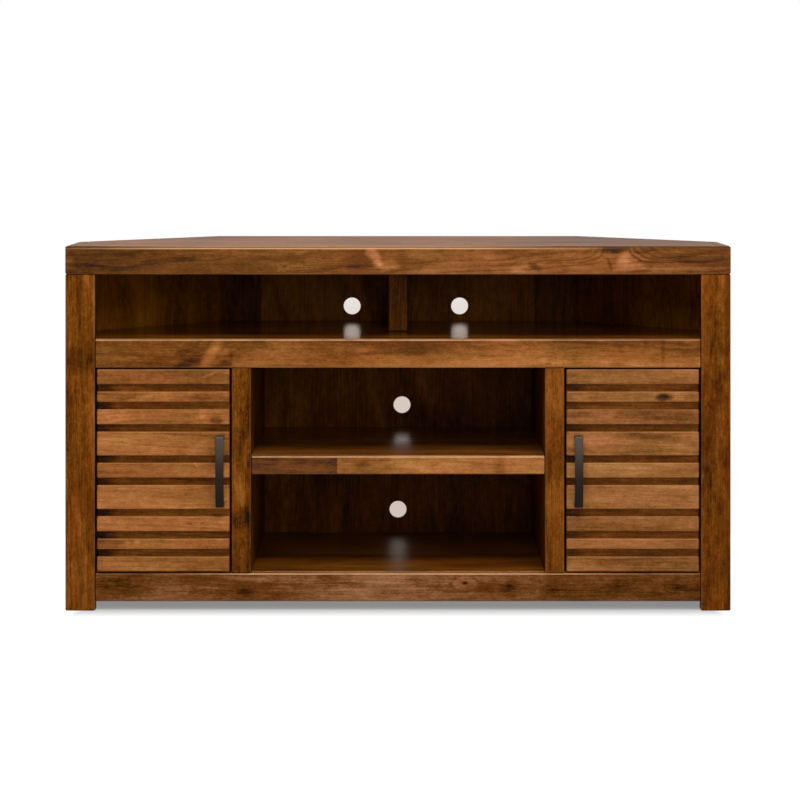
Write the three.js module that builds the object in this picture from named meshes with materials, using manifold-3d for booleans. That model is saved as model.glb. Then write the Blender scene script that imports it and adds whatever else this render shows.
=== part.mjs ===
// Corner television cabinet with two slatted doors. Millimetres, +Z up, front towards -Y.
// The origin is on the floor, under the middle of the whole outline.

import * as THREE from 'three';
import { mergeVertices } from 'three/addons/utils/BufferGeometryUtils.js';
import Module from 'manifold-3d';

const wasm = await Module();
wasm.setup();

// Overall sizes
const cabinetWidth = 1422.4;
const cabinetHeight = 779;
const cabinetDepth = 483;
const cornerCut = 286;

// Boards
const panelThickness = 19;
const frontBoardThickness = 19;
const backThickness = 9;
const arris = 1.5;
const frameArris = 2.5;
const turnedGap = 0.3;

// Front frame
const postWidth = 63.5;
const postDepth = 25.4;
const floorClearance = 20;
const baseRailHeight = 60;
const midRailHeight = 60;
const upperBayHeight = 139.4;
const topEdgeHeight = 60;
const stileWidth = 41.3;
const doorOpeningWidth = 292;

// Centre bay and upper bay
const centreShelfTop = 329.5;
const centreShelfEdgeHeight = 38.1;
const centreShelfSetback = 3;
const dividerWidth = 41;
const dividerSetback = 196;

// Cord holes in the back panel: each from the middle line and from the surface under it
const cordHoleDiameter = 40;
const cordHoleSteps = 32;
const upperLeftHoleOffset = 108.3;
const upperRightHoleOffset = 145.5;
const upperHoleRise = 34.5;
const centreHoleOffset = 9.5;
const centreHoleRise = 51.3;
const lowerHoleOffset = 0;
const lowerHoleRise = 54;

// Cupboards behind the doors, the blocks behind the posts that carry the hinges, and the feet at the back
const cupboardShelfRise = 220;
const cupboardShelfSetback = 75;
const rearFootWidth = 63.5;
const hingeBlockDepth = 38.1;

// Doors
const doorSideGap = 4;
const doorEndGap = 3.9;
const slatThickness = 9.5;
const doorPanelThickness = 12.7;

// Medium, narrow and wide slats from the top down, and the gap below each, as shares of a door
const slatShares = [10, 7, 10, 16, 10, 16, 10, 7, 10];
const slatGapShare = 5;

// Door handles, bowed flat bar
const handleLength = 152;
const handleWidth = 17.5;
const handleReach = 30;
const handleBow = 7;
const handleBar = 4.5;
const handleFoot = 9;
const handleCornerRadius = 6;
const handleInnerRadius = 4;
const handleArris = 0.8;
const handleFromFreeEdge = { left: 19.7, right: 25.1 };
const handleCurveSteps = 8;

// Concealed hinges: a cup let into the door, its pin, and a hooked arm on the hinge block
const hingeFromDoorEnd = 75;
const hingePinFromEdge = 24;
const hingePinFromBack = 6.9;
const hingePinRadius = 1.5;
const hingePinClearance = 0.3;
const hingeCupRadius = 17.5;
const hingeCupWall = 1;
const hingeCupDepth = 11.5;
const hingeCupFromEdge = 22.5;
const hingeCupClearance = 0.3;
const hingeFlangeThickness = 1.2;
const hingeFlangeLength = 60;
const hingeFlangeWidth = 15;
const hingeArmThickness = 2.5;
const hingeArmHeight = 12;
const hingeArmReach = 12;
const hingeArmDrop = 29;
const hingeArmBend = 3;
const hingeEyeWall = 1.5;
const hingePlateThickness = 2.8;
const hingePlateLength = 17;
const hingePlateHeight = 44;
const hingeSteps = 28;
const pinSteps = 12;
const bendSteps = 4;

const overrun = 1;
const half = 0.5;

// Places worked out from the sizes, measured from the middle, the front face and the floor
const quarterTurn = Math.PI * half;
const halfWidth = cabinetWidth * half;
const straightSideDepth = cabinetDepth - cornerCut;
const rearHalfWidth = halfWidth - cornerCut;
const postInner = halfWidth - postWidth;
const sideInner = halfWidth - panelThickness;
const stileOuter = postInner - doorOpeningWidth;
const stileInner = stileOuter - stileWidth;
const partitionOuter = stileInner + panelThickness;
const backInner = cabinetDepth - backThickness;

const baseTop = floorClearance + baseRailHeight;
const baseUnderside = baseTop - panelThickness;
const topEdgeBottom = cabinetHeight - topEdgeHeight;
const midTop = topEdgeBottom - upperBayHeight;
const midRailBottom = midTop - midRailHeight;
const doorBottom = baseTop + doorEndGap;
const doorTop = midRailBottom - doorEndGap;
const upperShelfUnderside = midTop - panelThickness;
const topUnderside = cabinetHeight - panelThickness;
const doorThickness = slatThickness + doorPanelThickness;

// The diagonal walls lie where |x| + y is constant
const diagonalOuterSum = halfWidth + straightSideDepth;
const diagonalInnerSum = diagonalOuterSum - backThickness * Math.SQRT2;
const diagonalSeatSum = diagonalInnerSum - turnedGap * Math.SQRT2;

// Materials
const alder = new THREE.MeshStandardMaterial({ color: 0x9a5f30, roughness: 0.45, metalness: 0 });
const alderFrame = new THREE.MeshStandardMaterial({ color: 0x7a4520, roughness: 0.45, metalness: 0 });
const alderInside = new THREE.MeshStandardMaterial({ color: 0x5c3216, roughness: 0.5, metalness: 0 });
const darkMetal = new THREE.MeshStandardMaterial({ color: 0x3a3532, roughness: 0.4, metalness: 0.8 });
const platedSteel = new THREE.MeshStandardMaterial({ color: 0xb8b8b4, roughness: 0.3, metalness: 1 });

const cabinet = new THREE.Group();
cabinet.position.y = (handleReach - cabinetDepth) * half;

function addMesh(name, geometry, material) {
  const mesh = new THREE.Mesh(geometry, material);
  mesh.name = name;
  cabinet.add(mesh);
  return mesh;
}

// Geometry to solid, and solid back to geometry, for the few joined and cut pieces
function toSolid(geometry) {
  const bare = geometry.clone();
  bare.deleteAttribute('normal');
  bare.deleteAttribute('uv');
  const merged = mergeVertices(bare);
  const vertProperties = new Float32Array(merged.attributes.position.array);
  const triVerts = new Uint32Array(merged.index.array);
  return new wasm.Manifold(new wasm.Mesh({ numProp: 3, vertProperties, triVerts }));
}

function toGeometry(solid) {
  const mesh = solid.getMesh();
  const geometry = new THREE.BufferGeometry();
  geometry.setAttribute('position', new THREE.BufferAttribute(new Float32Array(mesh.vertProperties), 3));
  geometry.setIndex(new THREE.BufferAttribute(new Uint32Array(mesh.triVerts), 1));
  geometry.computeVertexNormals();
  return geometry;
}

// Outline with each outward corner cut back as far as a round of the arris would reach
function easedShape(points, ease) {
  const corners = points.map(([x, y]) => new THREE.Vector2(x, y));
  const turn = THREE.ShapeUtils.isClockWise(corners) ? -1 : 1;
  const eased = corners.flatMap((corner, i) => {
    const before = corners.at(i - 1).clone().sub(corner);
    const after = corners[(i + 1) % corners.length].clone().sub(corner);
    if (after.cross(before) * turn < 0) return [corner];
    const reach = ease / Math.tan(before.angleTo(after) * half);
    return [before.setLength(reach).add(corner), after.setLength(reach).add(corner)];
  });
  return new THREE.Shape(eased);
}

// Upright prism on a plan outline, with the arrises round its top and its underside eased
function easedPrism(shape, bottom, top, ease) {
  const geometry = new THREE.ExtrudeGeometry(shape, {
    depth: top - bottom - ease - ease,
    bevelThickness: ease,
    bevelSize: ease,
    bevelOffset: -ease,
    bevelSegments: 1,
    curveSegments: handleCurveSteps,
  });
  return geometry.translate(0, 0, bottom + ease);
}

function addPanel(name, points, bottom, top, material, uprightEase = arris, levelEase = arris) {
  return addMesh(name, easedPrism(easedShape(points, uprightEase), bottom, top, levelEase), material);
}

function boxGeometry(xRange, yRange, zRange) {
  const [x, y, z] = [xRange, yRange, zRange].map(([low, high]) => (low + high) * half);
  const [width, depth, height] = [xRange, yRange, zRange].map(([low, high]) => Math.abs(high - low));
  return new THREE.BoxGeometry(width, depth, height).translate(x, y, z);
}

function addBoard(name, xRange, yRange, zRange, material, uprightEase = arris, levelEase = arris) {
  const points = [
    [xRange[0], yRange[0]], [xRange[1], yRange[0]], [xRange[1], yRange[1]], [xRange[0], yRange[1]],
  ];
  return addPanel(name, points, zRange[0], zRange[1], material, uprightEase, levelEase);
}

// Front frame boards are eased more along their length than at their jointed ends
function addRail(name, xRange, yRange, zRange, material) {
  return addBoard(name, xRange, yRange, zRange, material, arris, frameArris);
}

function addUpright(name, xRange, yRange, zRange, material) {
  return addBoard(name, xRange, yRange, zRange, material, frameArris, arris);
}

// Outline made symmetric about the middle from its right half
function mirrored(points) {
  return [...points, ...points.map(([x, y]) => [-x, y]).reverse()];
}

// Top: a six-sided panel with deeper edge boards along the front and the straight sides
addPanel('top_panel', mirrored([
  [sideInner, frontBoardThickness],
  [sideInner, diagonalOuterSum - sideInner],
  [rearHalfWidth, cabinetDepth],
]), topUnderside, cabinetHeight, alder);
addRail('top_front_rail', [-halfWidth, halfWidth], [0, frontBoardThickness],
  [topEdgeBottom, cabinetHeight], alder);

// Floor and upper shelf: six-sided panels notched round the posts, each behind its rail
const carcassPlan = mirrored([
  [postInner, frontBoardThickness],
  [postInner, postDepth],
  [sideInner, postDepth],
  [sideInner, diagonalSeatSum - sideInner],
  [diagonalSeatSum - backInner, backInner],
]);
addPanel('base_panel', carcassPlan, baseUnderside, baseTop, alderInside);
addPanel('upper_shelf', carcassPlan, upperShelfUnderside, midTop, alderInside);
addRail('base_rail', [-postInner, postInner], [0, frontBoardThickness],
  [floorClearance, baseTop], alderFrame);
addRail('mid_rail', [-postInner, postInner], [0, frontBoardThickness],
  [midRailBottom, midTop], alder);

// Centre bay shelf with its deeper front edge, and the divider of the upper bay
const shelfEdgeBack = centreShelfSetback + frontBoardThickness;
addBoard('centre_shelf', [-stileInner, stileInner], [shelfEdgeBack, backInner],
  [centreShelfTop - panelThickness, centreShelfTop], alderInside);
addRail('centre_shelf_edge', [-stileInner, stileInner], [centreShelfSetback, shelfEdgeBack],
  [centreShelfTop - centreShelfEdgeHeight, centreShelfTop], alderFrame);
addUpright('upper_divider', [-dividerWidth * half, dividerWidth * half], [dividerSetback, backInner],
  [midTop, topUnderside], alderFrame);

// Back: a middle panel with the cord holes, jointed behind the partitions
const backJoint = (stileInner + partitionOuter) * half;
const cordHoles = [
  [-upperLeftHoleOffset, midTop + upperHoleRise],
  [upperRightHoleOffset, midTop + upperHoleRise],
  [centreHoleOffset, centreShelfTop + centreHoleRise],
  [lowerHoleOffset, baseTop + lowerHoleRise],
];
const backBlank = easedPrism(easedShape([
  [-backJoint, backInner], [backJoint, backInner], [backJoint, cabinetDepth], [-backJoint, cabinetDepth],
], arris), floorClearance, topUnderside, arris);
const cordHoleRadius = cordHoleDiameter * half;
const backPanel = cordHoles.reduce((solid, [x, z]) => {
  const cutter = new THREE.CylinderGeometry(
    cordHoleRadius, cordHoleRadius, backThickness + overrun + overrun, cordHoleSteps);
  return solid.subtract(toSolid(cutter.translate(x, cabinetDepth - backThickness * half, z)));
}, toSolid(backBlank));
addMesh('back_panel_centre', toGeometry(backPanel), alderInside);

// Lower and upper edge of each slat, from the top down
const shareTotal = slatShares.reduce((sum, share) => sum + share + slatGapShare, -slatGapShare);
const shareHeight = (doorTop - doorBottom) / shareTotal;
const slatRanges = slatShares.map((share, i) => {
  const above = slatShares.slice(0, i).reduce((sum, other) => sum + other + slatGapShare, 0);
  const top = doorTop - above * shareHeight;
  return [top - share * shareHeight, top];
});

// Hinge places: the pin is the door's axis, x from the post's side of the door, y from the front
const pinX = postInner - doorSideGap - hingePinFromEdge;
const pinY = doorThickness - hingePinFromBack;
const cupX = postInner - doorSideGap - hingeCupFromEdge;
const hingeHeights = { lower: doorBottom + hingeFromDoorEnd, upper: doorTop - hingeFromDoorEnd };

// Door panel with a blind hole for each hinge cup
function doorPanelGeometry(side) {
  const [outer, inner] = [side * (postInner - doorSideGap), side * (stileOuter + doorSideGap)];
  const blank = easedPrism(easedShape([
    [outer, slatThickness], [inner, slatThickness], [inner, doorThickness], [outer, doorThickness],
  ], arris), doorBottom, doorTop, arris);
  const holeDepth = hingeCupDepth + hingeCupClearance;
  const holeRadius = hingeCupRadius + hingeCupClearance;
  const cut = Object.values(hingeHeights).reduce((solid, z) => {
    const cutter = new THREE.CylinderGeometry(holeRadius, holeRadius, holeDepth + overrun, hingeSteps);
    const middle = doorThickness - (holeDepth - overrun) * half;
    return solid.subtract(toSolid(cutter.translate(side * cupX, middle, z)));
  }, toSolid(blank));
  return toGeometry(cut);
}

// Hinge cup about its pin: a shallow dish with an oblong flange, crossed by the hinge pin
function hingeCupGeometry(side) {
  const centre = side * (hingePinFromEdge - hingeCupFromEdge);
  const rim = hingePinFromBack + hingeFlangeThickness;
  const bottom = hingePinFromBack - hingeCupDepth;
  const floor = bottom + hingeCupWall;
  const innerRadius = hingeCupRadius - hingeCupWall;
  const pinLength = innerRadius + innerRadius + hingeCupWall * half;
  const dish = new THREE.CylinderGeometry(hingeCupRadius, hingeCupRadius, rim - bottom, hingeSteps)
    .translate(centre, (bottom + rim) * half, 0);
  const hollow = new THREE.CylinderGeometry(innerRadius, innerRadius, rim - floor + overrun, hingeSteps)
    .translate(centre, (floor + rim + overrun) * half, 0);
  const flange = boxGeometry(
    [centre - hingeFlangeWidth * half, centre + hingeFlangeWidth * half],
    [hingePinFromBack + turnedGap, rim],
    [-hingeFlangeLength * half, hingeFlangeLength * half]);
  const pin = new THREE.CylinderGeometry(hingePinRadius, hingePinRadius, pinLength, pinSteps)
    .rotateX(quarterTurn);
  return toGeometry(toSolid(dish).add(toSolid(flange)).subtract(toSolid(hollow)).add(toSolid(pin)));
}

// Band of even thickness along a plan path
function bandShape(path, thickness) {
  const points = path.getPoints(bendSteps);
  const offsets = points.map((point, i) => {
    const before = point.clone().sub(points[Math.max(i - 1, 0)]).normalize();
    const after = points[Math.min(i + 1, points.length - 1)].clone().sub(point).normalize();
    const along = before.add(after).normalize();
    return new THREE.Vector2(-along.y, along.x).multiplyScalar(thickness * half);
  });
  const left = points.map((point, i) => point.clone().add(offsets[i]));
  const right = points.map((point, i) => point.clone().sub(offsets[i]));
  return new THREE.Shape([...left, ...right.reverse()]);
}

// Hinge arm about the pin: an eye on it, a hook that clears the door's edge, a plate on the hinge block
function hingeArmGeometry(side) {
  const turn = -side * hingeArmReach;
  const seat = side * (hingePinFromEdge + doorSideGap);
  const plateFace = seat - side * hingePlateThickness;
  const plateFront = hingeArmDrop - hingeArmThickness;
  const path = new THREE.Path();
  path.moveTo(0, 0);
  path.lineTo(turn + side * hingeArmBend, 0);
  path.quadraticCurveTo(turn, 0, turn, hingeArmBend);
  path.lineTo(turn, hingeArmDrop - hingeArmBend);
  path.quadraticCurveTo(turn, hingeArmDrop, turn + side * hingeArmBend, hingeArmDrop);
  path.lineTo((seat + plateFace) * half, hingeArmDrop);
  const strap = new THREE.ExtrudeGeometry(bandShape(path, hingeArmThickness), {
    depth: hingeArmHeight, bevelEnabled: false,
  }).translate(0, 0, -hingeArmHeight * half);
  const boreRadius = hingePinRadius + hingePinClearance;
  const eyeRadius = boreRadius + hingeEyeWall;
  const eye = new THREE.CylinderGeometry(eyeRadius, eyeRadius, hingeArmHeight + turnedGap, pinSteps)
    .rotateX(quarterTurn);
  const bore = new THREE.CylinderGeometry(boreRadius, boreRadius, hingeArmHeight + overrun, pinSteps)
    .rotateX(quarterTurn);
  const plate = boxGeometry(
    [seat, plateFace],
    [plateFront, plateFront + hingePlateLength],
    [-hingePlateHeight * half, hingePlateHeight * half]);
  return toGeometry(toSolid(strap).add(toSolid(eye)).add(toSolid(plate)).subtract(toSolid(bore)));
}

// Handle: side view of the bowed bar and its two feet, reach against height, then its width
function handleGeometry(side, fromFreeEdge) {
  const end = handleLength * half;
  const shoulder = handleReach - handleBow;
  const control = handleReach + handleBow;
  const innerEnd = end - handleFoot;
  const innerShoulder = shoulder - handleBar;
  const innerControl = control - handleBar;
  const shape = new THREE.Shape();
  shape.moveTo(0, -end);
  shape.lineTo(shoulder - handleCornerRadius, -end);
  shape.quadraticCurveTo(shoulder, -end, shoulder, handleCornerRadius - end);
  shape.quadraticCurveTo(control, 0, shoulder, end - handleCornerRadius);
  shape.quadraticCurveTo(shoulder, end, shoulder - handleCornerRadius, end);
  shape.lineTo(0, end);
  shape.lineTo(0, innerEnd);
  shape.lineTo(innerShoulder - handleInnerRadius, innerEnd);
  shape.quadraticCurveTo(innerShoulder, innerEnd, innerShoulder, innerEnd - handleInnerRadius);
  shape.quadraticCurveTo(innerControl, 0, innerShoulder, handleInnerRadius - innerEnd);
  shape.quadraticCurveTo(innerShoulder, -innerEnd, innerShoulder - handleInnerRadius, -innerEnd);
  shape.lineTo(0, -innerEnd);
  const towardsFront = new THREE.Vector3(0, -1, 0);
  const upwards = new THREE.Vector3(0, 0, 1);
  const sideways = new THREE.Vector3().crossVectors(towardsFront, upwards);
  const placed = new THREE.Matrix4().makeBasis(towardsFront, upwards, sideways);
  const x = side * (stileOuter + doorSideGap + fromFreeEdge);
  const z = (doorBottom + doorTop) * half;
  return easedPrism(shape, -handleWidth * half, handleWidth * half, handleArris)
    .applyMatrix4(placed)
    .translate(x, 0, z);
}

// Everything that the left and right sides both have
for (const [hand, side] of [['left', -1], ['right', 1]]) {
  const span = (inner, outer) => [side * inner, side * outer];
  const plan = (points) => points.map(([x, y]) => [side * x, y]);

  addUpright(`${hand}_post`, span(postInner, halfWidth), [0, postDepth], [0, topEdgeBottom], alderFrame);
  addUpright(`${hand}_stile`, span(stileInner, stileOuter), [0, frontBoardThickness],
    [baseTop, midRailBottom], alderFrame);
  addBoard(`${hand}_partition`, span(stileInner, partitionOuter), [frontBoardThickness, backInner],
    [baseTop, upperShelfUnderside], alderInside);
  addBoard(`${hand}_hinge_block`, span(postInner, sideInner), [postDepth, postDepth + hingeBlockDepth],
    [baseTop, upperShelfUnderside], alderInside);

  addPanel(`top_${hand}_rail`, plan([
    [halfWidth, frontBoardThickness],
    [halfWidth, straightSideDepth],
    [sideInner, diagonalOuterSum - sideInner],
    [sideInner, frontBoardThickness],
  ]), topEdgeBottom, cabinetHeight, alder);
  addPanel(`${hand}_side_panel`, plan([
    [halfWidth, postDepth],
    [halfWidth, straightSideDepth],
    [sideInner, diagonalOuterSum - sideInner],
    [sideInner, postDepth],
  ]), floorClearance, topEdgeBottom, alderFrame);
  addPanel(`${hand}_diagonal_panel`, plan([
    [sideInner, diagonalOuterSum - sideInner],
    [sideInner, diagonalInnerSum - sideInner],
    [diagonalInnerSum - cabinetDepth, cabinetDepth],
    [rearHalfWidth, cabinetDepth],
  ]), floorClearance, topUnderside, alderInside);
  addPanel(`back_panel_${hand}`, plan([
    [backJoint, backInner],
    [diagonalSeatSum - backInner, backInner],
    [diagonalSeatSum - cabinetDepth, cabinetDepth],
    [backJoint, cabinetDepth],
  ]), floorClearance, topUnderside, alderInside);

  const footOuter = diagonalSeatSum - backInner - arris - arris;
  addBoard(`${hand}_rear_foot`, span(footOuter - rearFootWidth, footOuter),
    [backInner - rearFootWidth, backInner], [0, baseUnderside], alderFrame);
  addPanel(`${hand}_cupboard_shelf`, plan([
    [partitionOuter, cupboardShelfSetback],
    [sideInner, cupboardShelfSetback],
    [sideInner, diagonalSeatSum - sideInner],
    [diagonalSeatSum - backInner, backInner],
    [partitionOuter, backInner],
  ]), baseTop + cupboardShelfRise, baseTop + cupboardShelfRise + panelThickness, alderInside);

  const doorSpan = span(postInner - doorSideGap, stileOuter + doorSideGap);
  addMesh(`${hand}_door_panel`, doorPanelGeometry(side), alder);
  slatRanges.forEach((range, i) => {
    addBoard(`${hand}_door_slat_${i + 1}`, doorSpan, [0, slatThickness], range, alder);
  });
  addMesh(`${hand}_door_handle`, handleGeometry(side, handleFromFreeEdge[hand]), darkMetal);
  for (const [level, z] of Object.entries(hingeHeights)) {
    const cup = addMesh(`${hand}_${level}_hinge_cup`, hingeCupGeometry(side), platedSteel);
    cup.position.set(side * pinX, pinY, z);
    const arm = addMesh(`${hand}_${level}_hinge_arm`, hingeArmGeometry(side), platedSteel);
    arm.position.set(side * pinX, pinY, z);
  }
}

export default cabinet;
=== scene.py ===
"""Looks of a low corner cabinet for a television: stained knotty alder, dark handles, plated hinges."""

import math
import random
from dataclasses import dataclass

import bmesh
import bpy
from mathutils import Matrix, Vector


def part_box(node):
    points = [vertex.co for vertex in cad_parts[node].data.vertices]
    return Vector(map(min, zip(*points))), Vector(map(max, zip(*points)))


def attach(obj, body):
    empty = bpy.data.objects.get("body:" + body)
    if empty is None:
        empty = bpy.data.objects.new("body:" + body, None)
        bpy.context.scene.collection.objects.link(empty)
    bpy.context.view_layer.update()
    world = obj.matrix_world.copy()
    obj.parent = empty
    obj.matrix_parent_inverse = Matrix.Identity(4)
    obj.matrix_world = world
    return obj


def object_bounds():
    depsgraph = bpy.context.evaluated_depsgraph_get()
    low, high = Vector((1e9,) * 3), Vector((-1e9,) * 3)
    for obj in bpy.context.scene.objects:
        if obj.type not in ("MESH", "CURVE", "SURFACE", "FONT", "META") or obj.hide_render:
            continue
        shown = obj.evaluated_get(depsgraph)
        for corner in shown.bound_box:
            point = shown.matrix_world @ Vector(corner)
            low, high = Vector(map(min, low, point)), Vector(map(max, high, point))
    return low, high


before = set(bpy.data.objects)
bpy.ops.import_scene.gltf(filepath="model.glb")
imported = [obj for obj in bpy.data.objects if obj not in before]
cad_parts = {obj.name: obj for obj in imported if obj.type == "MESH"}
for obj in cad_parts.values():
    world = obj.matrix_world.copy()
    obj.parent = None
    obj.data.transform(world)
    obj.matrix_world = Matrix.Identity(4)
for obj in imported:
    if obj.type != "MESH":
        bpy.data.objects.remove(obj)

MM = 0.001
cad_low, cad_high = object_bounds()

# Camera: level, in front, with the picture shifted to the cabinet. FRONT_SCALE is pixels a metre there
IMAGE_SIDE = 800
SENSOR_WIDTH = 36.0
CAMERA_DISTANCE = 4.53
CAMERA_HEIGHT = 1.0074
FRONT_SCALE = 468.0
HORIZON_PIXEL = 139.4
CENTRE_PIXEL = 398.0

# Stain colours of the alder from a knot's heart to the palest wood, in sRGB, by tone
STAIN = (
    (0.0, (30, 12, 2)),
    (0.2, (76, 38, 2)),
    (0.4, (104, 58, 9)),
    (0.6, (134, 81, 30)),
    (0.8, (158, 99, 48)),
    (1.0, (186, 125, 72)),
)
UPRIGHT_STAIN = (
    (0.0, (29, 10, 0)),
    (0.2, (74, 34, 0)),
    (0.4, (102, 53, 1)),
    (0.6, (131, 74, 21)),
    (0.8, (155, 90, 38)),
    (1.0, (182, 114, 58)),
)
BASE_STAIN = (
    (0.0, (29, 10, 0)),
    (0.2, (74, 37, 0)),
    (0.4, (103, 59, 22)),
    (0.6, (134, 89, 56)),
    (0.8, (158, 108, 72)),
    (1.0, (186, 130, 88)),
)
# Colour of pale arrises: wear, with a painted highlight on arrises that face up
PALE_ARRIS_WEAR_AND_HIGHLIGHT = (198, 150, 106)
RED_CAST = (1.04, 0.95, 0.96, 1.0)
OLIVE_CAST = (0.96, 1.03, 0.92, 1.0)

# The sRGB curve
SRGB_STEPS = 255
SRGB_KNEE = 0.04045
SRGB_SLOPE = 12.92
SRGB_OFFSET = 0.055
SRGB_POWER = 2.4


def linear(rgb, tint=(1.0, 1.0, 1.0)):
    """sRGB from 0 to 255, times a tint, as a linear colour with alpha."""
    shares = [c / SRGB_STEPS for c in rgb]
    curved = [s / SRGB_SLOPE if s <= SRGB_KNEE else ((s + SRGB_OFFSET) / (1 + SRGB_OFFSET)) ** SRGB_POWER
              for s in shares]
    return [c * t for c, t in zip(curved, tint)] + [1.0]


# Sockets of a Mix node that mixes colours
MIX_FIRST = 6
MIX_SECOND = 7
MIX_RESULT = 2


class Graph:
    """Shader nodes of a material or a world, added and joined one by one."""

    def __init__(self, owner):
        owner.use_nodes = True
        self.owner = owner
        self.tree = owner.node_tree
        self.shader = self.tree.nodes.get("Principled BSDF")

    def join(self, value, socket):
        if isinstance(value, bpy.types.NodeSocket):
            self.tree.links.new(value, socket)
        else:
            socket.default_value = value

    def add(self, kind, *values, output=0, **settings):
        node = self.tree.nodes.new("ShaderNode" + kind)
        for key, value in settings.items():
            setattr(node, key, value)
        for i, value in enumerate(values):
            self.join(value, node.inputs[i])
        return node if output is None else node.outputs[output]

    def math(self, operation, *values, clamp=False):
        return self.add("Math", *values, operation=operation, use_clamp=clamp)

    def vector(self, operation, *values, output=0):
        return self.add("VectorMath", *values, operation=operation, output=output)

    def parts(self, vector):
        return self.add("SeparateXYZ", vector).node.outputs

    def span(self, value, low, high, to_low=0.0, to_high=1.0):
        """Value between low and high, eased and moved between to_low and to_high."""
        return self.add("MapRange", value, low, high, to_low, to_high, interpolation_type="SMOOTHSTEP")

    def noise(self, place, scale, detail=2.0, distortion=0.0):
        stretched = self.vector("MULTIPLY", place, scale)
        node = self.tree.nodes.new("ShaderNodeTexNoise")
        self.join(stretched, node.inputs["Vector"])
        node.inputs["Scale"].default_value = 1.0
        node.inputs["Detail"].default_value = detail
        node.inputs["Distortion"].default_value = distortion
        return node.outputs["Fac"]

    def swing(self, noise, amount):
        """Noise from 0 to 1 turned into a tone change about zero."""
        return self.math("MULTIPLY_ADD", noise, amount, -amount / 2)

    def ramp(self, value, stops):
        node = self.tree.nodes.new("ShaderNodeValToRGB")
        self.join(value, node.inputs["Fac"])
        elements = node.color_ramp.elements
        while len(elements) < len(stops):
            elements.new(0.5)
        for element, (place, colour) in zip(elements, stops):
            element.position = place
            element.color = colour
        return node.outputs["Color"]

    def mix(self, factor, first, second):
        node = self.tree.nodes.new("ShaderNodeMix")
        node.data_type = "RGBA"
        sockets = node.inputs["Factor"], node.inputs[MIX_FIRST], node.inputs[MIX_SECOND]
        for socket, value in zip(sockets, (factor, first, second)):
            self.join(value, socket)
        return node.outputs[MIX_RESULT]

    def bump(self, height, strength, distance):
        node = self.tree.nodes.new("ShaderNodeBump")
        node.inputs["Strength"].default_value = strength
        node.inputs["Distance"].default_value = distance
        self.join(height, node.inputs["Height"])
        return node.outputs["Normal"]

    def set(self, **inputs):
        for key, value in inputs.items():
            self.join(value, self.shader.inputs[key.replace("_", " ")])
        return self.owner


@dataclass
class Knot:
    """A knot seen on the face: its place along and across the grain, and its size."""
    along: float
    across: float
    radius: float = 5 * MM
    dark: float = 1.0
    stretch: float = 0.5
    swirl: float = 25 * MM


@dataclass
class Patch:
    """A soft light or dark patch in the tone: most are in the stain, some are painted light or shade, as
    marked where they stand.
    """
    along: float
    across: float
    length: float
    width: float
    tone: float
    turn: float = 0.0


@dataclass
class Stave:
    """A length of the board glued up from a lighter or darker piece."""
    start: float
    end: float
    tone: float


@dataclass
class Flare:
    """Grain that bends up on both sides of a knot: dark lines that rise towards it from a level."""
    along: float
    across: float
    width: float
    reach: float
    dark: float
    before: float = 0.6
    spacing: float = 9 * MM


@dataclass
class HighlightLine:
    """A pale line beside an arris, with the grain: a painted highlight. Where strength is below zero, a
    stretch where the arris's pale wear and painted highlight are held back.
    """
    along: float
    across: float
    length: float
    width: float
    strength: float


@dataclass
class Wood:
    """How one board looks. lie names the world axes along, across and through it."""
    lie: str = "xzy"
    tone: float = 0.5
    contrast: float = 1.0
    rings: float = 1.0
    stain: tuple = STAIN
    tint: tuple = (1.0, 1.0, 1.0)
    gloss: float = 0.15
    gloss_tint: tuple = (1.0, 1.0, 1.0, 1.0)
    roughness: float = 0.45
    dulled: float = 0.0
    arris: float = 1.0
    lip: float = 0.0
    # The next is painted shade on arrises that face down, or painted light where above zero
    under_arris: float = -0.18
    round: float = 0.55 * MM
    jointed: float = 0.0
    # Darkening of a board's inner and outer sides: painted shade
    inner_flank_shade: float = 0.0
    outer_flank: float = 0.0
    figures: tuple = ()


@dataclass
class Grain:
    """Noise drawn out along the grain: cycles per metre along and across it, detail, and how it is used."""
    along: float
    across: float
    detail: float
    swing: float = 0.0
    distortion: float = 0.0


# Where the tree's middle lies from a board's middle, in metres, and how much it leans
PITH_ACROSS = 0.06
PITH_THROUGH = (0.06, 0.13)
PITH_LEAN = (0.02, 0.07)

# Noise is moved by this much, along, across and through, from one board to the next
SEED_STEP = (1.7, 0.9, 2.3)

# Growth rings: their spacing, how they wander and waver, and the dark late wood that ends each one
GRAIN_WANDER = 0.06
WANDER = Grain(1.8, 7.0, 2.0)
RING_SPACING = 6.5 * MM
RING_WAVER = Grain(7.0, 30.0, 3.0, 1.6)
LATE_WOOD_START = 0.4
LATE_WOOD_END = 0.92
LATE_WOOD_FAINTEST = 0.3
LATE_WOOD_TONE = 0.13

# Tone changes in the wood, from the broadest to the finest
CLOUD = Grain(4.5, 17.0, 3.0, 0.85, 0.6)
MOTTLE = Grain(55.0, 100.0, 3.0, 0.36)
STREAK = Grain(9.0, 260.0, 3.0, 0.28)
HAIRLINE = Grain(14.0, 600.0, 2.0, 0.34)
FLECK = Grain(170.0, 400.0, 2.0, 0.44)
FIBRE = Grain(30.0, 1300.0, 3.0, 0.26)
PORES = Grain(190.0, 2600.0, 1.0)
PORE_SHARE = (0.63, 0.72)
PORE_TONE = 0.05
CAST = Grain(6.0, 20.0, 2.0)
CAST_SHARE = (0.3, 0.7)

# Noise that makes the outlines of knots, patches and worn places uneven
JITTER = Grain(26.0, 60.0, 3.0)

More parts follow.
